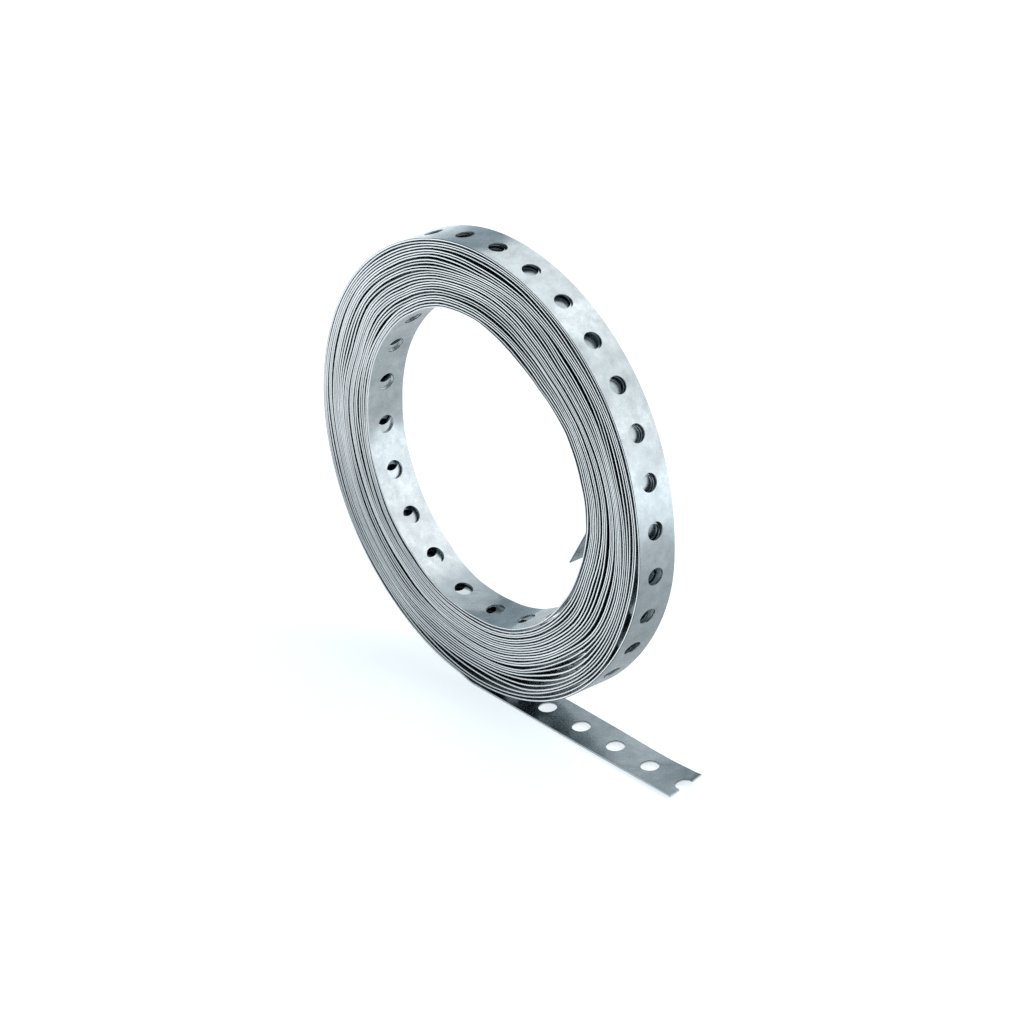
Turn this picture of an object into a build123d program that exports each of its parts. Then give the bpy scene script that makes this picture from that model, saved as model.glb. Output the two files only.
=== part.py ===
from build123d import *
import math
import os

# Perforated steel strap, sold as a coil: a thin galvanised band with one row of round holes.
# The coil stands on its last turn, which runs out flat along the floor to a snipped end.
# Sizes are in millimetres. The profile is drawn in X and Z and has its width along Y.
# Angles are in degrees, counter-clockwise from +X as seen from the front, where Y is negative.

# The strap itself
strap_width = 17.0
strap_thickness = 0.75
hole_diameter = 7.0
hole_pitch = 18.0

# The wound coil: the pressed turns under the last one
bore_radius = 59.8
pack_radius = 87.55
groove_depth = 2.0
groove_width = 0.7

# Pressed turns in each band between two grooves, from the bore out: 24, and the last turn outside
turns_in_band = (4, 6, 7, 7)

# The last turn rises out of the pack, bows off it at one side and lies on it for the rest
rise_angle = -110.0
rise_span = 56.0
rise_depth = 6.0
side_bow_start = -60.0
side_bow_end = 3.0
side_bow_gap = 1.3

# The run-out from the pack down to the flat tail on the floor
leave_angle = 200.0
settle_angle = 245.0
tail_drop = 1.7
flat_start_x = -4.0

# The snipped end: an oblique cut through the tail's last hole
end_hole_x = 102.8
cut_front = 2.0
cut_back = 0.4

# The inner end of the strap, which springs into the bore
tab_angle = -1.0
tab_bend_angle = 24.0
tab_bend_radius = 8.0
tab_length = 15.0

half_width = strap_width / 2
hole_radius = hole_diameter / 2
floor_level = -(pack_radius + tail_drop + strap_thickness)


def unit(angle):
    """Unit vector in the profile plane at an angle from +X."""
    return Vector(math.cos(math.radians(angle)), math.sin(math.radians(angle)))


def stood_up(profile):
    """Stand a profile drawn in X and Y up in X and Z, with the strap's width along Y."""
    return Rot(90, 0, 0) * extrude(profile, amount=half_width, both=True)


def pack_section():
    """Section of the wound turns: a bore, an outside, and ends grooved between the bands."""
    step = (pack_radius - bore_radius) / sum(turns_in_band)
    bottom = half_width - groove_depth
    edge = [(bore_radius, half_width)]
    radius = bore_radius
    for turns in turns_in_band[:-1]:
        radius += turns * step
        edge.append((radius - groove_width / 2, half_width))
        edge.append((radius, bottom))
        edge.append((radius + groove_width / 2, half_width))
    edge.append((pack_radius - groove_width / 2, half_width))
    edge.append((pack_radius, bottom))
    mirrored = [(x, -y) for x, y in reversed(edge)]
    return make_face(Polyline(*edge, *mirrored, close=True))


def turned_pack():
    """The pressed turns as one turned ring about the Y axis."""
    return revolve(pack_section(), axis=Axis.Y)


def side_bow_bends():
    """Three tangent arcs that bow off the pack and come back to it."""
    span = side_bow_end - side_bow_start
    half = math.radians(span) / 2
    quarter = half / 2
    ratio = math.sin(half) / math.sin(quarter)
    excess = side_bow_gap / (1 - math.cos(half) - ratio * (1 - math.cos(quarter)))
    slack_radius = pack_radius + excess
    tight_radius = slack_radius - excess * ratio
    knee = span / 4
    return [
        (slack_radius, side_bow_start + knee),
        (tight_radius, side_bow_end - knee),
        (slack_radius, side_bow_end),
    ]


def run_out_bends():
    """Two tangent arcs that carry the strap off the pack and set it down flat on the floor."""
    fall_leave = 1 + unit(leave_angle).Y
    fall_settle = 1 + unit(settle_angle).Y
    side_leave = unit(leave_angle).X
    side_settle = unit(settle_angle).X
    scale = fall_leave * side_settle - fall_settle * side_leave
    slack = (tail_drop * side_settle + fall_settle * flat_start_x) / scale
    tuck = (fall_leave * flat_start_x + tail_drop * side_leave) / scale
    slack_radius = pack_radius + slack
    return [(slack_radius, settle_angle), (slack_radius - tuck, 270.0)]


def last_turn_bends():
    """Inner radius and end angle of each arc of the last turn, in winding order."""
    return [
        (pack_radius - rise_depth, rise_angle),
        (pack_radius, side_bow_start),
        *side_bow_bends(),
        (pack_radius, leave_angle),
        *run_out_bends(),
    ]


def last_turn_arcs():
    """Centre, inner radius, start and end angle of each arc of the last turn."""
    start = rise_angle - rise_span
    centre = unit(rise_angle) * rise_depth
    last_radius = pack_radius - rise_depth
    arcs = []
    for radius, end in last_turn_bends():
        centre = centre + unit(start) * (last_radius - radius)
        arcs.append((centre, radius, start, end))
        last_radius = radius
        start = end
    return arcs


def band_profile(arcs, run):
    """Closed profile of a strap that follows tangent arcs and then runs straight on."""
    inner = [CenterArc((c.X, c.Y), r, a, b - a) for c, r, a, b in arcs]
    outer = [CenterArc((c.X, c.Y), r + strap_thickness, a, b - a) for c, r, a, b in arcs]
    inner_end = inner[-1] @ 1
    outer_end = outer[-1] @ 1
    ahead = unit(arcs[-1][3] + 90) * run
    sides = [
        Line(inner[0] @ 0, outer[0] @ 0),
        Line(inner_end, inner_end + ahead),
        Line(outer_end, outer_end + ahead),
        Line(inner_end + ahead, outer_end + ahead),
    ]
    return make_face(Curve() + inner + outer + sides)


def end_cutter():
    """Everything past the oblique cut across the tail."""
    far = end_hole_x + hole_pitch
    outline = Polyline(
        (end_hole_x + cut_front, -half_width),
        (far, -half_width),
        (far, half_width),
        (end_hole_x + cut_back, half_width),
        close=True,
    )
    below = floor_level - strap_thickness
    return Pos(0, 0, below) * extrude(make_face(outline), amount=4 * strap_thickness)


def last_turn():
    """The real outermost turn with its flat tail, cut off obliquely."""
    run = end_hole_x + hole_pitch / 2 - flat_start_x
    return stood_up(band_profile(last_turn_arcs(), run)) - end_cutter()


def hole_places():
    """Place on the outer face and outward angle of every hole, back from the snipped end."""
    places = []
    along = end_hole_x - flat_start_x
    while along > 0:
        places.append((Vector(flat_start_x + along, floor_level), 270.0))
        along -= hole_pitch
    for centre, radius, start, end in reversed(last_turn_arcs()[1:]):
        middle_radius = radius + strap_thickness / 2
        along += math.radians(end - start) * middle_radius
        while along > 0:
            angle = start + math.degrees(along / middle_radius)
            places.append((centre + unit(angle) * (radius + strap_thickness), angle))
            along -= hole_pitch
    return places


def punch(place, angle):
    """A round punch through one thickness of strap, centred on its outer face."""
    outward = unit(angle)
    plane = Plane(origin=(place.X, 0, place.Y), z_dir=(outward.X, 0, outward.Y))
    return plane * Cylinder(hole_radius, 2 * strap_thickness)


def inner_tab():
    """The strap's inner end, bent off the bore wall and straight to its cut edge."""
    bend_centre = unit(tab_angle) * (bore_radius - tab_bend_radius)
    start = tab_angle + 90
    bend_in = CenterArc((bend_centre.X, bend_centre.Y), tab_bend_radius, tab_angle, -tab_bend_angle)
    bend_out = CenterArc(
        (bend_centre.X, bend_centre.Y), tab_bend_radius + strap_thickness, tab_angle, -tab_bend_angle
    )
    ahead = unit(tab_angle - tab_bend_angle - 90) * tab_length
    sides = [
        Line(bend_in @ 0, bend_out @ 0),
        Line(bend_in @ 1, bend_in @ 1 + ahead),
        Line(bend_out @ 1, bend_out @ 1 + ahead),
        Line(bend_in @ 1 + ahead, bend_out @ 1 + ahead),
    ]
    return stood_up(make_face(Curve() + [bend_in, bend_out] + sides))


def perforated_strap():
    """The whole coil as one solid, with its origin on the floor under its middle."""
    coil = turned_pack() + last_turn() + inner_tab()
    coil = coil - [punch(place, angle) for place, angle in hole_places()]
    middle = coil.bounding_box().center()
    return Pos(-middle.X, 0, -floor_level) * coil


os.makedirs("parts", exist_ok=True)
strap = perforated_strap()
export_step(strap, "parts/strap.step")
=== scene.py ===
import math

import bpy
import numpy as np
from mathutils import Matrix, Vector


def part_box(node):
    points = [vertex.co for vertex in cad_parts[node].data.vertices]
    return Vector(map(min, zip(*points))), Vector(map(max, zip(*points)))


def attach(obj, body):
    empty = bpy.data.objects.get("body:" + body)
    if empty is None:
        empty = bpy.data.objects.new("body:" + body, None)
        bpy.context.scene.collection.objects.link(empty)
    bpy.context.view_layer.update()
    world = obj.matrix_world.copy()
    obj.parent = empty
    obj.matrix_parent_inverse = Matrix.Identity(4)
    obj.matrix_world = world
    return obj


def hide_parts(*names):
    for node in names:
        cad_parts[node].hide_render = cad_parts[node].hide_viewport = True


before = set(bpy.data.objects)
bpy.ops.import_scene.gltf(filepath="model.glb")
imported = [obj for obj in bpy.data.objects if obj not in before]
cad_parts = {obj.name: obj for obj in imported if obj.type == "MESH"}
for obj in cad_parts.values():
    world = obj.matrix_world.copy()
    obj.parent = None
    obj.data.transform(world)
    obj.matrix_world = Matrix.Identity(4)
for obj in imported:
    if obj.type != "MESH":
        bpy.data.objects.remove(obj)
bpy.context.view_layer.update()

# Perforated steel strap: one long band with a row of holes, wound into a coil whose end runs out flat.
# Sizes are in millimetres in the coil's own frame: X along the tail, Z up, origin on the coil's axis.
# Angles are in degrees, counter-clockwise from +X as seen from the front, where Y is negative.
# Turns are counted inward from the last one, which is turn 0.
MM_PER_M = 1000

# The strap itself
THICK = 0.75
HALF_WIDTH = 8.36
BEVEL = 0.12
HOLE_R = 3.5
PITCH = 18.0

# Sheared metal is burnished on one part and torn on the other. The torn part is painted near black:
# partly the dullness of torn metal, partly painted shade for the gaps between turns and inside the holes.
# Places through the thickness run from -1 on the inner face to 1 on the outer face.
BURNISHED_TO = 0.4
TORN_AND_SHADE_TO_IN_HOLES = -0.3

# The coil's outer face in the CAD, from which its axis is found
CAD_OUTER_R = 88.3
low_corner, high_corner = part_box("strap")
AXIS_X = low_corner.x * MM_PER_M + CAD_OUTER_R
AXIS_Z = high_corner.z * MM_PER_M - CAD_OUTER_R

# The winding: gaps between turns, where a turn's count begins, where the bore wall starts and where
# the last turn ends
GAPS = 24
TURN_START = -90
INNER_START = 1.0
COIL_END = 263.0
ANGLE_STEP = 0.5

# Outer face of the last turn: angle, radius
OUTER = [(-90, 88.2), (-70, 88.05), (-60, 87.85), (-50, 87.4), (-40, 87.0), (-30, 87.1), (-20, 87.5),
         (-10, 87.8), (-4, 87.4), (2, 87.0), (10, 86.9), (20, 87.2), (40, 88.0), (60, 88.2), (95, 88.2),
         (115, 87.6), (130, 87.4), (165, 87.4), (200, 88.0), (240, 88.6), (255, 88.9), (270, 89.1)]

# Bore wall all round: angle, radius
BORE = [(0, 58.8), (20, 58.8), (40, 57.8), (52, 57.0), (62, 56.8), (72, 57.3), (82, 58.8), (92, 60.3),
        (104, 61.4), (118, 61.9), (150, 62.0), (210, 62.0), (240, 61.6), (270, 60.8), (300, 59.3),
        (316, 58.0), (330, 57.5), (346, 58.2)]

# How many degrees those two lines and the gaps between them are softened over, and how many steps
# the turns' own line is
OUTER_SPREAD = 3.0
BORE_SPREAD = 4.0
GAP_SPREAD = 5
TURNS_SPREAD = 2.4

# Where the last turn comes down on its own start, and how many times the gaps are fitted to it
LANDING_START = 230
LANDING_SPAN = 40
FIT_ROUNDS = 6

# Every gap's own share of the room: its size, how it wavers from knot to knot, and the least gap
SHARE_OF_ALL = 0.2
WAVER_MEAN = 1.1
WAVER_EVERY = 18
WAVER_END = 400
LEAST_GAP = 0.04

# Where the turns stand apart. Gap 1 is under the last turn and gap 24 is the innermost.
# Each opening is its middle angle, its half length in degrees and its share of the room.
OPENINGS = {
    1: [(-60, 22, 0.5), (-15, 15, 2.1), (30, 17, 0.9), (230, 11, 0.9)],
    2: [(-97, 13, 1.5), (-60, 18, 0.5), (52, 13, 0.7), (198, 13, 0.7), (248, 10, 0.6)],
    3: [(-86, 13, 1.3), (5, 13, 0.9), (62, 16, 0.9), (205, 22, 0.9)],
    4: [(-72, 15, 0.9), (19, 15, 1.3), (78, 19, 1.1), (228, 12, 0.5)],
    5: [(-67, 12, 1.1), (23, 11, 1.1), (167, 18, 0.6)],
    6: [(-60, 14, 0.9), (36, 13, 1.0), (97, 12, 0.5)],
    7: [(-52, 14, 0.8), (4, 11, 0.6), (41, 11, 1.0), (100, 13, 0.5)],
    8: [(-47, 12, 0.8), (50, 11, 0.8)],
    9: [(-97, 12, 0.6), (-45, 12, 0.7), (155, 30, 0.5)],
    10: [(59, 12, 0.9)],
    11: [(-18, 20, 0.7), (63, 11, 0.7)],
    12: [(-22, 15, 0.5), (68, 10, 0.6), (150, 22, 0.5)],
    13: [(212, 12, 1.0)],
    14: [(-15, 25, 0.5), (45, 38, 1.0), (218, 14, 0.5)],
    15: [(-15, 15, 0.6), (212, 32, 1.1)],
    17: [(20, 45, 0.7)],
    18: [(85, 13, 0.5)],
    19: [(60, 20, 0.5)],
    20: [(-80, 22, 0.5), (80, 20, 0.8)],
    21: [(208, 25, 0.9)],
    22: [(52, 15, 0.6)],
    23: [(-65, 40, 0.5), (66, 16, 1.1), (172, 13, 0.7)],
    24: [(22, 15, 0.9), (225, 17, 1.2)],
}

# The inner end: the tab's cut tip and where it leaves the bore wall
TAB_TIP = (50.2, -16.3)
TAB_ROOT = (58.8, -1.0)

# How far the innermost turn's back edge leans into the bore: angle, lean
INNER_LEAN = [(245, 0.0), (264, 0.9), (290, 2.2), (330, 2.2), (360, 0.0)]
LEAN_SPREAD = 5.0

# The tail on the floor: its top, its first and last holes, and how far past the last one's middle
# the oblique cut is at the front and back edges
TAIL_TOP = -(AXIS_Z - THICK)
FLAT_START = -3.0
TAIL_HOLE = 29.4
END_HOLE = 103.3
CUT_FRONT = 1.3
CUT_BACK = -0.3

# How far the tail's front and back edges lift off the floor: X, lift
FRONT_LIFT = [(0, 0.0), (20, 0.15), (45, 0.25), (78, 0.7), (104, 0.95)]
BACK_LIFT = [(4, 0.0), (28, 1.45), (62, 1.45), (80, 1.1), (90, 1.3), (104, 2.4)]
LIFT_SPREAD = 5.0

# The tail's back corner curls up from here on
CURL_START_X = 100.0
CURL_START_Y = 6.0
CURL_HEIGHT = 0.4

# How far the turns' edges stray to and fro across the coil, at knots along the strap. The last few
# knots are on the tail, which lies straight.
STRAY = 0.12
STRAY_EVERY = 80.0
STEADY_KNOTS = 4

# How far the line between the burnished part and the torn part, painted dark as shade, wanders through the
# edges' thickness, at knots along the strap
UNEVEN_SHEAR = 0.25
SHEAR_EVERY = 50.0

# How far the row of holes sits in front of the strap's middle, from this turn and angle out
ROW_FORWARD = 0.6
ROW_FORWARD_FROM = (3, 0)

# Holes seen in the photo that the row is seated on: turn, angle. No hole is nearer the tip than this.
SEEN_HOLES = [(GAPS, 137.0), (GAPS, 253.4), (GAPS - 1, 134.7), (GAPS - 1, 249.5),
              (2, 71.5), (1, 65.4), (0, -30.0), (0, 111.8)]
TIP_MARGIN = 5.0

# Painted shade in the zinc's colour, where the strap lies in shade or mirrors darker surroundings: turn,
# middle angle or place on the tail, half length and how much darker. Below nought is a painted highlight.
PAINTED_SHADE_ON_TURNS = [(GAPS, 150, 30, 0.1), (GAPS, 229, 11, -0.25), (GAPS, 256, 11, 0.5), (GAPS, 292, 12, 0.2),
                 (0, -32, 33, 0.38), (1, -30, 33, 0.55), (2, -30, 33, 0.55), (2, 45, 40, 0.3),
                 (3, -30, 33, 0.55)]
PAINTED_SHADE_ON_TAIL = [(70, 50, 0.4), (100, 15, 0.2)]

# Inside the pack, between these two turns and angles, all of it is painted dark as the shade between the
# turns
PAINTED_SHADE_IN_PACK = 0.9
PACK_START = (GAPS - 2, 0)
PACK_END = (3, -90)

# Points round each hole, multiples of four: for turns in plain sight and for those inside the pack.
# In sight are this many holes from the inner end and all from this turn and angle out.
FINE = 40
COARSE = 16
HOLES_IN_BORE = 25
OUTSIDE_FROM = (1, -60)

# Points along the tab, its bend, the run-out, the snipped end's hole, and the tail's step
TAB_POINTS = 24
BEND_POINTS = 6
RUN_OUT_POINTS = 14
SNIPPED_POINTS = 24
TAIL_STEP = 0.75

# Points that are the same to this many decimals are one, and edges sharper than this stay sharp
SAME_TO = 4
SHARP_ANGLE = 28

# The strap's materials in the order of its slots: colour, mottling, roughness, streaks, and whether
# it takes painted shade in places
FACE, EDGE, TORN_AND_SHADE = 0, 1, 2
ZINC = {
    "zinc_face": ((0.58, 0.63, 0.65), 0.18, 0.25, 0.12, True),
    "zinc_edge": ((0.94, 0.96, 0.97), 0.05, 0.35, 0.35, False),
    # Torn metal painted near black: painted shade in the gaps between turns and inside the holes
    "zinc_torn_and_shade": ((0.08, 0.10, 0.11), 0.05, 0.50, 0.25, False),
}
# Colour that painted shade darkens the zinc face towards
PAINTED_SHADE_ZINC = (0.10, 0.16, 0.19, 1)

# Textures, with scales in counts a metre: mottling, streaks along the strap, spangle, rolling lines
MOTTLE_SCALE = 160.0
STREAK_SCALE = 14.0
SPANGLE_SCALE = 900.0
SPANGLE_GLOSS = (-0.03, 0.05)
ROLLING_SCALE = (60.0, 3000.0, 1.0)
ROLLING_STRENGTH = 0.04
ROLLING_DEPTH = 0.0001
NOISE_SPAN = (0.3, 0.7)

# The floor: its paint, how bright the camera sees it glow, and how bright metal sees it glow, by
# distance from the coil and by place in front of it. Places are in metres. The glow that metal sees is
# painted reflection: dimmer near the coil as painted shadow, lighter further in front as painted light.
FLOOR_HALF = 6.0
FLOOR_COLOUR = (0.83, 0.80, 0.78, 1)
GLOW_COLOUR = (0.93, 1.0, 1.04, 1)
FLOOR_GLOW = 0.71
NEAR_SHADE_SPAN = (0.24, 0.44)
NEAR_GLOW = 0.24
FAR_GLOW = 1.0
AHEAD = (-0.13, -0.20)
AHEAD_GLOW = 0.8
RIGHT = (-0.20, -0.06)
LEFT_GLOW = -0.14
RIGHT_GLOW = 0.6
FRONT = (0.0, -0.03)

# The world: its light overhead and at the horizon, and how high the horizon's band reaches
WORLD_COLOUR = (0.74, 0.90, 1.0, 1)
WORLD_LIGHT = 0.38
HORIZON_LIGHT = 0.56
HORIZON_BAND = 0.55

# Soft boxes in metres: direction from the point they face, size and how bright they look
LAMP_AIM = (0.0, 0.0, 0.09)
LAMP_COLOUR = (1.0, 0.97, 0.95)
BOX_DISTANCE = 1.5
SOFT_BOXES = {
    "side_box": ((0.81, 0.58, 0.05), 1.18, 0.97),
    "high_box": ((0.47, 0.58, 0.66), 1.16, 0.95),
    "back_box": ((-0.27, 0.58, 0.77), 1.16, 1.0),
}

# Camera, fitted to the photo's rings and holes; the photo is 1024 pixels square
PHOTO_PX = 1024
YAW = 48.96
PITCH_DOWN = 28.35
CAMERA_DISTANCE = 1.86156
FOCAL_PX = 5149.0
AXIS_PX = (494.78, 464.75)
SENSOR = 36.0
CLIP_START = 0.1
CLIP_END = 30

rng = np.random.default_rng(7)


def soften(values, spread, closed):
    """Blur evenly spaced values with a bell whose spread is in samples."""
    reach = int(3 * spread)
    bell = np.exp(-0.5 * (np.arange(-reach, reach + 1) / spread) ** 2)
    padded = np.pad(values, reach, "wrap" if closed else "edge")
    return np.convolve(padded, bell / bell.sum(), "valid")


def soft_curve(points, at, spread, period=None):
    """Value at places on a softened line through points."""
    knots, values = np.array(points, float).T
    step = 0.5
    end = period if period else knots[-1] + step
    start = 0.0 if period else knots[0]
    fine = np.arange(start, end, step)
    soft = soften(np.interp(fine, knots, values, period=period), spread / step, bool(period))
    return np.interp(at, fine, soft, period=period)


def hump(off):
    """A soft hump that is 1 in its middle and a little under half at 1 and -1."""
    return np.exp(-0.8 * off ** 2)


def wanted_gaps(angle):
    """Share of the room that each gap takes at each angle."""
    along = angle[None, :] - 360.0 * np.arange(GAPS)[:, None]
    knots = np.arange(-360.0 * GAPS, WAVER_END, WAVER_EVERY)
    share = SHARE_OF_ALL * np.interp(along, knots, rng.exponential(WAVER_MEAN, len(knots)))
    for gap, openings in OPENINGS.items():
        for middle, half, width in openings:
            share += width * hump((along - (middle - 360.0 * (gap - 1))) / half)
    share[-1, angle < INNER_START] = 0.0
    return share


def turn_radii():
    """Inner-face radius of every turn at angles round the coil, the last turn first."""
    angle = np.arange(TURN_START, TURN_START + 360, ANGLE_STEP)
    share = wanted_gaps(angle)
    turns = 1 + (share > 0).sum(0)
    bore = soft_curve(BORE, angle, BORE_SPREAD, period=360)
    outer = soft_curve(OUTER, angle, OUTER_SPREAD)
    landing = np.clip((angle - LANDING_START) / LANDING_SPAN, 0, 1) ** 2
    for _ in range(FIT_ROUNDS):
        room = (outer - bore - turns * THICK) / share.sum(0)
        gaps = np.maximum(share * soften(room, GAP_SPREAD / ANGLE_STEP, True), LEAST_GAP)
        outer += landing * (outer[0] + THICK + gaps[0, -1] - outer[-1])
    inward = np.cumsum(gaps + THICK, 0)
    return angle, outer - THICK - np.concatenate([np.zeros((1, len(angle))), inward])


def eased(start, start_aim, end, end_aim, count):
    """Points between two others on a cubic that leaves and arrives along two directions."""
    span = np.linalg.norm(end - start)
    u = np.linspace(0, 1, count + 2)[1:-1, None]
    leave = (u**3 - 2 * u**2 + u) * span * start_aim
    arrive = (u**3 - u**2) * span * end_aim
    return (2 * u**3 - 3 * u**2 + 1) * start + leave + (3 * u**2 - 2 * u**3) * end + arrive


def heading(start, end):
    """Unit vector from one point to another."""
    return (end - start) / np.linalg.norm(end - start)


class Route:
    """The strap's middle line in the plane of the coil, read by length from the inner tip."""

    def __init__(self):
        tip, root = np.array(TAB_TIP), np.array(TAB_ROOT)
        tab = tip + np.linspace(0, 1, TAB_POINTS)[:, None] * (root - tip)
        self.angles, coil = self.wound_line()
        bend = eased(root, heading(tip, root), coil[0], heading(coil[0], coil[1]), BEND_POINTS)
        tail_x = np.arange(FLAT_START, END_HOLE + PITCH, TAIL_STEP)
        tail = np.stack([tail_x, np.full_like(tail_x, TAIL_TOP - THICK / 2)], -1)
        falling = heading(coil[-2], coil[-1])
        run_out = eased(coil[-1], falling, tail[0], np.array([1.0, 0.0]), RUN_OUT_POINTS)
        coil_from = len(tab) + len(bend)
        self.tail_from = coil_from + len(coil) + len(run_out)
        self.points = np.concatenate([tab, bend, coil, run_out, tail])
        steps = np.linalg.norm(np.diff(self.points, axis=0), axis=1)
        self.lengths = np.concatenate([[0], np.cumsum(steps)])
        self.wound_lengths = self.lengths[coil_from:coil_from + len(coil)]
        along = np.gradient(self.points, self.lengths, axis=0)
        along /= np.linalg.norm(along, axis=1)[:, None]
        self.outward = np.stack([along[:, 1], -along[:, 0]], -1)

    def wound_line(self):
        """Running angle and points of the wound turns, from the bore wall out."""
        angle, radii = turn_radii()
        angles = np.concatenate([angle - 360.0 * turn for turn in range(GAPS, -1, -1)])
        inner = soften(np.concatenate(radii[::-1]), TURNS_SPREAD, False)
        keep = (angles >= INNER_START - 360.0 * GAPS) & (angles <= COIL_END)
        angles = angles[keep]
        middle = inner[keep] + THICK / 2
        a = np.radians(angles)
        return angles, np.stack([middle * np.cos(a), middle * np.sin(a)], -1)

    def at(self, length):
        """Place and outward direction at a length: x, z and their two parts."""
        x, z = (np.interp(length, self.lengths, self.points[:, k]) for k in (0, 1))
        out_x, out_z = (np.interp(length, self.lengths, self.outward[:, k]) for k in (0, 1))
        size = np.hypot(out_x, out_z)
        return x, z, out_x / size, out_z / size

    def on_turn(self, turn, angle):
        """Length at an angle on a turn."""
        return float(np.interp(angle - 360.0 * turn, self.angles, self.wound_lengths))

    def on_tail(self, x):
        """Length at a place along the tail."""
        return float(np.interp(x, self.points[self.tail_from:, 0], self.lengths[self.tail_from:]))


def hole_lengths(route):
    """Every hole's length along the strap, evenly between the holes that the photo shows."""
    seats = [route.on_turn(turn, angle) for turn, angle in SEEN_HOLES]
    seats += [route.on_tail(TAIL_HOLE), route.on_tail(END_HOLE)]
    holes = list(np.arange(seats[0] - PITCH, TIP_MARGIN, -PITCH)[::-1])
    for start, end in zip(seats[:-1], seats[1:]):
        count = max(1, round((end - start) / PITCH))
        holes.extend(np.linspace(start, end, count + 1)[:-1])
    return np.array(holes + [seats[-1]])


class StrapMesh:
    """Gathers points by length, place across and side, and the faces that join them."""

    def __init__(self):
        self.points = []
        self.faces = []
        self.slots = []
        self.count = 0

    def add(self, length, across, side):
        """Add points and give their numbers. Side is the place through the thickness."""
        rows = np.stack(np.broadcast_arrays(length, across, side), -1).astype(float)
        self.points.append(rows)
        self.count += len(rows)
        return np.arange(self.count - len(rows), self.count)

    def join(self, a, b, slot):
        """Quads between two rows of points."""
        self.faces.append(np.stack([a[:-1], b[:-1], b[1:], a[1:]], -1))
        self.slots.append(np.full(len(a) - 1, slot))

    def faces_round(self, hole, border):
        """Outer and inner face between a hole's edge and a border, and the wall of the hole."""
        rims = []
        for side in (1, -1):
            rim = self.add(hole[:, 0], hole[:, 1], side)
            edge = self.add(border[:, 0], border[:, 1], side)
            rims.append((rim, edge))
            if side > 0:
                self.join(rim, edge, FACE)
            else:
                self.join(edge, rim, FACE)
        # The hole's wall: its inner part torn and painted dark as shade, its outer part burnished
        middle = self.add(hole[:, 0], hole[:, 1], TORN_AND_SHADE_TO_IN_HOLES)
        self.join(rims[1][0], middle, TORN_AND_SHADE)
        self.join(middle, rims[0][0], EDGE)
        return rims[0][1], rims[1][1]

    def long_edge(self, length, across, outer, inner):
        """The strap's sheared edge between two small bevels: part torn and painted dark as shade, part
        burnished.
        """
        land = 1 - 2 * BEVEL / THICK
        places = (land, BURNISHED_TO, -land)
        rows = [outer, *[self.add(length, across, side) for side in places], inner]
        for a, b, slot in zip(rows[:-1], rows[1:], (TORN_AND_SHADE, TORN_AND_SHADE, EDGE, EDGE)):
            self.join(a, b, slot)


def cell_border(start, middle, end, count):
    """Points round one pitch of strap, counter-clockwise from its far front corner."""
    side = np.linspace(-1, 1, count // 4 + 1)[:-1]
    one = np.ones(count // 4)
    along = np.concatenate([one, -side, -one, side])
    across = np.concatenate([side, one, -side, -one])
    length = middle + np.where(along > 0, along * (end - middle), along * (middle - start))
    border = np.stack([length, across * (HALF_WIDTH - BEVEL)], -1)
    return np.concatenate([border, border[:1]])


def add_cell(mesh, start, hole, end, count, forward):
    """One pitch of strap with its hole, and the strap's cut tip where it is the first pitch."""
    a = 2 * math.pi * np.arange(count + 1) / count - math.pi / 4
    ring = np.stack([hole + HOLE_R * np.cos(a), HOLE_R * np.sin(a) - forward], -1)
    border = cell_border(start, hole, end, count)
    outer, inner = mesh.faces_round(ring, border)
    for corner, across in ((count // 4, HALF_WIDTH), (3 * count // 4, -HALF_WIDTH)):
        run = np.arange(corner, corner + count // 4 + 1)
        mesh.long_edge(border[run, 0], across, outer[run], inner[run])
    if start == 0:
        run = np.arange(count // 2, 3 * count // 4 + 1)
        mesh.join(outer[run], inner[run], EDGE)


def cut_place(hole, y):
    """Where the oblique cut through the last hole is, at a place across the strap."""
    return hole + CUT_FRONT + (CUT_BACK - CUT_FRONT) * (y + HALF_WIDTH) / (2 * HALF_WIDTH)


def snipped_arc(hole):
    """Points along what the oblique cut leaves of the last hole's edge."""
    a = np.radians(np.arange(0, 360, 0.25))
    kept = hole + HOLE_R * np.cos(a) < cut_place(hole, HOLE_R * np.sin(a))
    first = np.flatnonzero(kept & ~np.roll(kept, 1))[0]
    swept = np.roll(a, -first)[:kept.sum()]
    a = np.interp(np.linspace(0, 1, SNIPPED_POINTS + 1), np.linspace(0, 1, len(swept)), swept)
    return np.stack([hole + HOLE_R * np.cos(a), HOLE_R * np.sin(a)], -1)


def add_snipped_end(mesh, start, hole):
    """The last half pitch, cut obliquely through its hole."""
    third = SNIPPED_POINTS // 3
    arc = snipped_arc(hole)
    y = HALF_WIDTH - BEVEL
    corners = [(cut_place(hole, y), y), (start, y), (start, -y), (cut_place(hole, -y), -y)]
    sides = [np.linspace(p, q, third + 1)[:-1] for p, q in zip(corners[:-1], corners[1:])]
    border = np.concatenate([*sides, [corners[-1]]])
    outer, inner = mesh.faces_round(arc, border)
    for corner, across in ((0, HALF_WIDTH), (2 * third, -HALF_WIDTH)):
        run = np.arange(corner, corner + third + 1)
        mesh.long_edge(border[run, 0], across, outer[run], inner[run])
    # The two cut faces either side of the hole: the arc's ends are added again to close them
    rim = [mesh.add(arc[:, 0], arc[:, 1], side) for side in (1, -1)]
    mesh.join(np.array([rim[0][0], rim[1][0]]), np.array([outer[0], inner[0]]), EDGE)
    mesh.join(np.array([outer[-1], inner[-1]]), np.array([rim[0][-1], rim[1][-1]]), EDGE)


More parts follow.
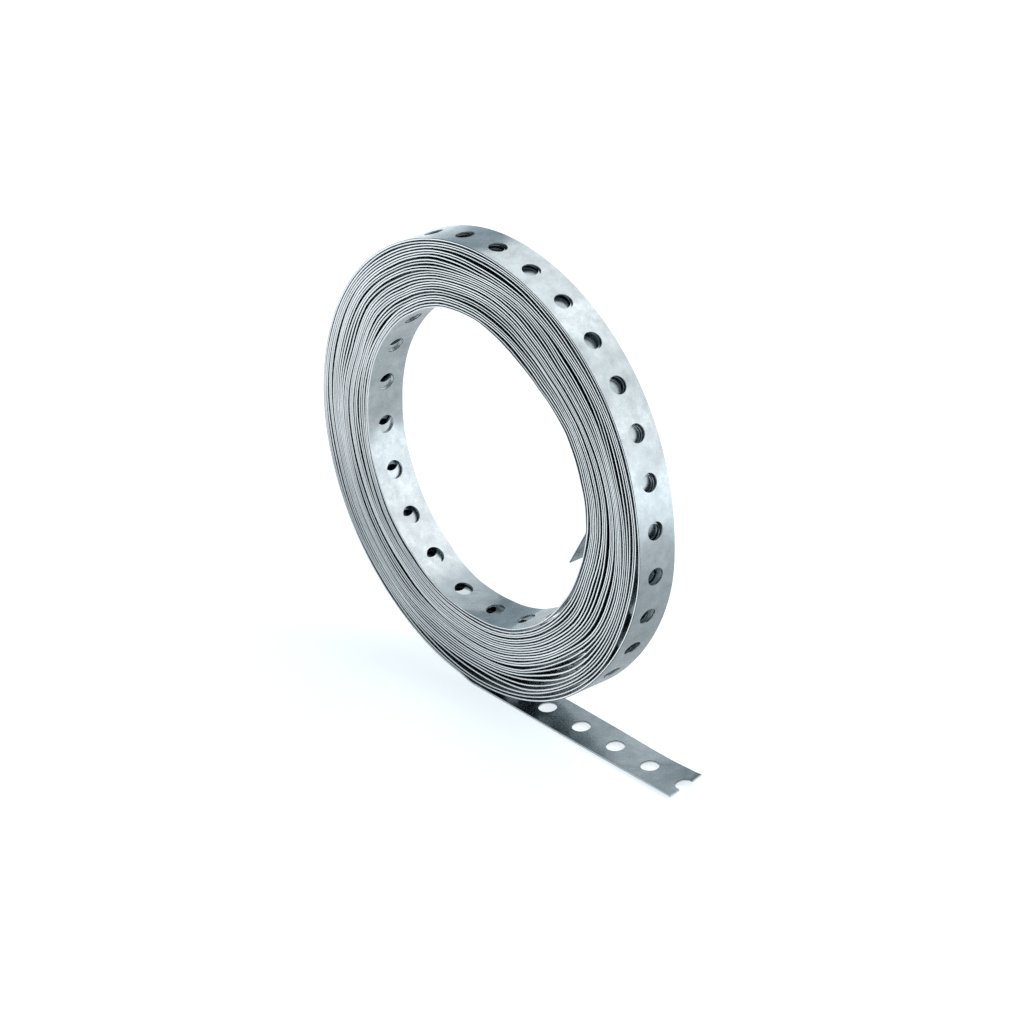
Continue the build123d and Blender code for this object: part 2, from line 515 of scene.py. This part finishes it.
def strap_mesh(route, holes):
    """The whole strap, pitch by pitch, finer where it is in plain sight."""
    mesh = StrapMesh()
    ends = np.concatenate([[0.0], (holes[1:] + holes[:-1]) / 2])
    bore_sight = holes[0] + HOLES_IN_BORE * PITCH
    outside_sight = route.on_turn(*OUTSIDE_FROM)
    forward_from = route.on_turn(*ROW_FORWARD_FROM)
    forward_to = route.lengths[route.tail_from]
    for start, hole, end in zip(ends[:-1], holes[:-1], ends[1:]):
        count = FINE if hole < bore_sight or hole > outside_sight else COARSE
        forward = ROW_FORWARD if forward_from < hole < forward_to else 0.0
        add_cell(mesh, start, hole, end, count, forward)
    add_snipped_end(mesh, ends[-1], holes[-1])
    return mesh


def edge_stray(length, total):
    """Slow stray of the turns across the coil, none on the tail."""
    knots = np.arange(0, total + STRAY_EVERY, STRAY_EVERY)
    stray = rng.uniform(-STRAY, STRAY, len(knots))
    stray[-STEADY_KNOTS:] = 0
    return np.interp(length, knots, stray)


def shear_stray(length, total):
    """How far the line between the burnished and the torn part of an edge wanders; the torn part is painted
    dark as shade.
    """
    knots = np.arange(0, total + SHEAR_EVERY, SHEAR_EVERY)
    return np.interp(length, knots, rng.uniform(-UNEVEN_SHEAR, UNEVEN_SHEAR, len(knots)))


def inner_lean(route, length, across):
    """How far the strap's innermost turn leans towards the coil's axis."""
    angle = np.interp(length, route.wound_lengths, route.angles) + 360.0 * GAPS
    lean = soft_curve(INNER_LEAN, angle, LEAN_SPREAD)
    return np.where(angle < 360, lean * (across + HALF_WIDTH) / (2 * HALF_WIDTH), 0.0)


def tail_lift(x, y):
    """How far the tail stands off the floor, with its back corner curled up."""
    across = (y + HALF_WIDTH) / (2 * HALF_WIDTH)
    front = soft_curve(FRONT_LIFT, x, LIFT_SPREAD)
    back = soft_curve(BACK_LIFT, x, LIFT_SPREAD)
    out = np.clip((x - CURL_START_X) / (END_HOLE - CURL_START_X), 0, None)
    over = np.clip((y - CURL_START_Y) / (HALF_WIDTH - CURL_START_Y), 0, None)
    return front * (1 - across) + back * across + CURL_HEIGHT * out**2 * over**2


def placed(route, rows):
    """Points of the strap in metres in the row frame."""
    length, across, side = rows.T
    x, z, out_x, out_z = route.at(length)
    sheared = np.isclose(side, BURNISHED_TO) & np.isclose(np.abs(across), HALF_WIDTH)
    side = side + np.where(sheared, shear_stray(length, route.lengths[-1]), 0.0)
    out = side * THICK / 2 - inner_lean(route, length, across)
    x = x + out_x * out
    z = z + out_z * out
    z = z + np.where(length > route.lengths[route.tail_from], tail_lift(x, across), 0.0)
    y = across + edge_stray(length, route.lengths[-1])
    return np.stack([x + AXIS_X, y, z + AXIS_Z], -1) / MM_PER_M


def painted_shade_tone(route, length):
    """How much painted shade darkens the zinc, by length along the strap: 1 is none, less is painted shade,
    more is painted highlight.
    """
    tone = np.ones_like(length)
    for turn, angle, half, darkening in PAINTED_SHADE_ON_TURNS:
        middle, reach = route.on_turn(turn, angle), route.on_turn(turn, angle + half)
        tone -= darkening * hump((length - middle) / (reach - middle))
    for x, half, darkening in PAINTED_SHADE_ON_TAIL:
        tone -= darkening * hump((length - route.on_tail(x)) / half)
    inside = (length > route.on_turn(*PACK_START)) & (length < route.on_turn(*PACK_END))
    return np.where(inside, 1 - PAINTED_SHADE_IN_PACK, tone)


def strap_object(route, holes):
    """The strap as one Blender object, with its length and width as a UV map in metres."""
    built = strap_mesh(route, holes)
    rows = np.concatenate(built.points)
    rows, number = np.unique(np.round(rows, SAME_TO), axis=0, return_inverse=True)
    faces = number.ravel()[np.concatenate(built.faces)]
    mesh = bpy.data.meshes.new("perforated_strap")
    mesh.from_pydata(placed(route, rows).tolist(), [], faces.tolist())
    mesh.polygons.foreach_set("material_index", np.concatenate(built.slots).astype(np.int32))
    loops = np.zeros(len(mesh.loops), np.int32)
    mesh.loops.foreach_get("vertex_index", loops)
    uv = np.stack([rows[:, 0], rows[:, 1] + rows[:, 2] * THICK / 2], -1)[loops] / MM_PER_M
    mesh.uv_layers.new(name="strap").data.foreach_set("uv", uv.ravel())
    # Painted shade and painted highlight along the strap, read by the zinc face material
    tone = mesh.attributes.new("painted_shade_tone", "FLOAT", "POINT")
    tone.data.foreach_set("value", painted_shade_tone(route, rows[:, 0]))
    mesh.shade_smooth()
    mesh.set_sharp_from_angle(angle=math.radians(SHARP_ANGLE))
    obj = bpy.data.objects.new("perforated_strap", mesh)
    bpy.context.scene.collection.objects.link(obj)
    return obj


def add_node(tree, kind, inputs=None, **settings):
    """A shader node with its settings and the values of its inputs."""
    made = tree.nodes.new(kind)
    for key, value in settings.items():
        setattr(made, key, value)
    for key, value in (inputs or {}).items():
        made.inputs[key].default_value = value
    return made


def ramp(tree, value, span, levels):
    """A level that changes evenly while a value goes through a span."""
    made = add_node(tree, "ShaderNodeMapRange", {"From Min": span[0], "From Max": span[1]})
    made.inputs["To Min"].default_value = levels[0]
    made.inputs["To Max"].default_value = levels[1]
    tree.links.new(value, made.inputs["Value"])
    return made.outputs["Result"]


def combined(tree, how, a, b, up_to_one=False):
    """Two values added or multiplied, and kept between 0 and 1 if asked."""
    made = add_node(tree, "ShaderNodeMath", operation=how, use_clamp=up_to_one)
    tree.links.new(a, made.inputs[0])
    tree.links.new(b, made.inputs[1])
    return made.outputs["Value"]


def stretched_noise(tree, strap_uv, scale, detail):
    """Noise that is drawn out along the strap."""
    stretch = add_node(tree, "ShaderNodeMapping", {"Scale": scale})
    tree.links.new(strap_uv, stretch.inputs["Vector"])
    noise = add_node(tree, "ShaderNodeTexNoise", {"Scale": 1.0, "Detail": detail})
    tree.links.new(stretch.outputs["Vector"], noise.inputs["Vector"])
    return noise.outputs["Fac"]


def mottled(tree, place, colour, spread):
    """A colour that is mottled lighter and darker."""
    mottle = add_node(tree, "ShaderNodeTexNoise", {"Scale": MOTTLE_SCALE, "Detail": 5.0, "Roughness": 0.65})
    tree.links.new(place, mottle.inputs["Vector"])
    tone = add_node(tree, "ShaderNodeMix", data_type="RGBA")
    tone.inputs["A"].default_value = (*[c * (1 - spread) for c in colour], 1)
    tone.inputs["B"].default_value = (*[min(1, c * (1 + spread)) for c in colour], 1)
    tree.links.new(ramp(tree, mottle.outputs["Fac"], NOISE_SPAN, (0.0, 1.0)), tone.inputs["Factor"])
    return tone.outputs["Result"]


def with_painted_shade(tree, colour):
    """A colour darkened towards painted shade, or lightened as painted highlight, where the mesh says so.
    """
    kept = add_node(tree, "ShaderNodeAttribute", attribute_name="painted_shade_tone")
    made = add_node(tree, "ShaderNodeMix", data_type="RGBA", clamp_factor=False)
    made.inputs["A"].default_value = PAINTED_SHADE_ZINC
    tree.links.new(kept.outputs["Fac"], made.inputs["Factor"])
    tree.links.new(colour, made.inputs["B"])
    return made.outputs["Result"]


def zinc(name, colour, spread, rough, streak, takes_painted_shade):
    """Galvanised steel: mottling and slow streaks in its colour, spangle in its gloss, rolling lines."""
    mat = bpy.data.materials.new(name)
    mat.use_nodes = True
    tree = mat.node_tree
    bsdf = tree.nodes["Principled BSDF"]
    bsdf.inputs["Metallic"].default_value = 1.0
    place = add_node(tree, "ShaderNodeTexCoord").outputs["Object"]
    strap_uv = add_node(tree, "ShaderNodeUVMap", uv_map="strap").outputs["UV"]

    colour_now = mottled(tree, place, colour, spread)
    # Painted shade and painted highlight from the mesh
    if takes_painted_shade:
        colour_now = with_painted_shade(tree, colour_now)
    streaks = stretched_noise(tree, strap_uv, (STREAK_SCALE, 0.0, 0.0), 3.0)
    shaded = add_node(tree, "ShaderNodeVectorMath", operation="SCALE")
    tree.links.new(colour_now, shaded.inputs[0])
    tree.links.new(ramp(tree, streaks, NOISE_SPAN, (1 - streak, 1.0)), shaded.inputs["Scale"])
    tree.links.new(shaded.outputs["Vector"], bsdf.inputs["Base Color"])

    spangle = add_node(tree, "ShaderNodeTexVoronoi", {"Scale": SPANGLE_SCALE})
    tree.links.new(place, spangle.inputs["Vector"])
    gloss = (rough + SPANGLE_GLOSS[0], rough + SPANGLE_GLOSS[1])
    tree.links.new(ramp(tree, spangle.outputs["Color"], (0.0, 1.0), gloss), bsdf.inputs["Roughness"])

    lines = stretched_noise(tree, strap_uv, ROLLING_SCALE, 2.0)
    bump = add_node(tree, "ShaderNodeBump", {"Strength": ROLLING_STRENGTH, "Distance": ROLLING_DEPTH})
    tree.links.new(lines, bump.inputs["Height"])
    tree.links.new(bump.outputs["Normal"], bsdf.inputs["Normal"])
    return mat


def mirrored_glow(tree):
    """How bright the floor looks in metal, as painted reflection: dimmer near the coil as painted shadow,
    never past 1, and lighter in front as painted light.
    """
    place = add_node(tree, "ShaderNodeTexCoord").outputs["Object"]
    away = add_node(tree, "ShaderNodeVectorMath", operation="LENGTH")
    parts = add_node(tree, "ShaderNodeSeparateXYZ")
    tree.links.new(place, away.inputs[0])
    tree.links.new(place, parts.inputs["Vector"])
    near_shade = ramp(tree, away.outputs["Value"], NEAR_SHADE_SPAN, (NEAR_GLOW, FAR_GLOW))
    ahead = ramp(tree, parts.outputs["Y"], AHEAD, (0.0, AHEAD_GLOW))
    right = ramp(tree, parts.outputs["X"], RIGHT, (LEFT_GLOW, RIGHT_GLOW))
    front = ramp(tree, parts.outputs["Y"], FRONT, (0.0, 1.0))
    in_front = combined(tree, "ADD", ahead, combined(tree, "MULTIPLY", right, front))
    return combined(tree, "ADD", near_shade, in_front, up_to_one=True)


def floor_paint():
    """Pale matt paint that the camera sees as a light ground, and metal sees as a painted reflection of
    light and shade on the floor.
    """
    mat = bpy.data.materials.new("floor")
    mat.use_nodes = True
    tree = mat.node_tree
    bsdf = tree.nodes["Principled BSDF"]
    bsdf.inputs["Base Color"].default_value = FLOOR_COLOUR
    bsdf.inputs["Roughness"].default_value = 0.9
    bsdf.inputs["Specular IOR Level"].default_value = 0.0
    ray = add_node(tree, "ShaderNodeLightPath")
    # Glow that only metal sees: painted reflection of light and shade on the floor
    mirrored = combined(tree, "MULTIPLY", ray.outputs["Is Glossy Ray"], mirrored_glow(tree))
    seen = add_node(tree, "ShaderNodeMath", {1: FLOOR_GLOW}, operation="MULTIPLY_ADD")
    tree.links.new(ray.outputs["Is Camera Ray"], seen.inputs[0])
    tree.links.new(mirrored, seen.inputs[2])
    glow = add_node(tree, "ShaderNodeEmission", {"Color": GLOW_COLOUR})
    tree.links.new(seen.outputs["Value"], glow.inputs["Strength"])
    both = add_node(tree, "ShaderNodeAddShader")
    tree.links.new(bsdf.outputs["BSDF"], both.inputs[0])
    tree.links.new(glow.outputs["Emission"], both.inputs[1])
    tree.links.new(both.outputs["Shader"], tree.nodes["Material Output"].inputs["Surface"])
    return mat


def floor_plane():
    """A wide floor at the coil's foot."""
    half = FLOOR_HALF
    corners = [(-half, -half, 0), (half, -half, 0), (half, half, 0), (-half, half, 0)]
    mesh = bpy.data.meshes.new("floor")
    mesh.from_pydata(corners, [], [(0, 1, 2, 3)])
    mesh.materials.append(floor_paint())
    obj = bpy.data.objects.new("floor", mesh)
    bpy.context.scene.collection.objects.link(obj)
    return obj


def studio_world():
    """Soft grey light all round, a little lighter at the horizon."""
    world = bpy.data.worlds.new("studio")
    world.use_nodes = True
    tree = world.node_tree
    sky = tree.nodes["Background"]
    sky.inputs["Color"].default_value = WORLD_COLOUR
    toward = add_node(tree, "ShaderNodeTexCoord").outputs["Generated"]
    parts = add_node(tree, "ShaderNodeSeparateXYZ")
    tree.links.new(toward, parts.inputs["Vector"])
    height = ramp(tree, parts.outputs["Z"], (0.0, HORIZON_BAND), (HORIZON_LIGHT, WORLD_LIGHT))
    tree.links.new(height, sky.inputs["Strength"])
    bpy.context.scene.world = world


def soft_box(name, toward, size, radiance):
    """A square lamp that faces the coil, placed by direction and set by how bright it looks."""
    lamp = bpy.data.lights.new(name, "AREA")
    lamp.size = size
    lamp.energy = radiance * math.pi * size * size
    lamp.color = LAMP_COLOUR
    obj = bpy.data.objects.new(name, lamp)
    aim = Vector(toward).normalized()
    obj.location = Vector(LAMP_AIM) + aim * BOX_DISTANCE
    obj.rotation_euler = (-aim).to_track_quat("-Z", "Y").to_euler()
    bpy.context.scene.collection.objects.link(obj)


def photo_camera():
    """A camera at the photograph's angle, with the coil's axis at its pixel."""
    yaw, down = math.radians(YAW), math.radians(PITCH_DOWN)
    ahead = Vector((-math.sin(yaw) * math.cos(down), math.cos(yaw) * math.cos(down), -math.sin(down)))
    right = ahead.cross(Vector((0, 0, 1))).normalized()
    up = right.cross(ahead)
    shift_right = (AXIS_PX[0] - PHOTO_PX / 2) / FOCAL_PX
    shift_down = (AXIS_PX[1] - PHOTO_PX / 2) / FOCAL_PX
    axis = Vector((AXIS_X, 0, AXIS_Z)) / MM_PER_M
    place = axis - CAMERA_DISTANCE * (ahead + shift_right * right - shift_down * up)
    lens = bpy.data.cameras.new("camera")
    lens.sensor_width = SENSOR
    lens.lens = FOCAL_PX * SENSOR / PHOTO_PX
    lens.clip_start = CLIP_START
    lens.clip_end = CLIP_END
    obj = bpy.data.objects.new("camera", lens)
    bpy.context.scene.collection.objects.link(obj)
    turn = Matrix((right, up, -ahead)).transposed().to_4x4()
    obj.matrix_world = Matrix.Translation(place) @ turn
    bpy.context.scene.camera = obj


route = Route()
strap = strap_object(route, hole_lengths(route))
for zinc_name, look in ZINC.items():
    strap.data.materials.append(zinc(zinc_name, *look))
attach(strap, "root")
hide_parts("strap")
print("triangles", 2 * len(strap.data.polygons), "strap length in metres", route.lengths[-1] / MM_PER_M)

floor_plane()
studio_world()
for box_name, (toward, size, radiance) in SOFT_BOXES.items():
    soft_box(box_name, toward, size, radiance)
photo_camera()
bpy.context.scene.view_settings.view_transform = "Standard"
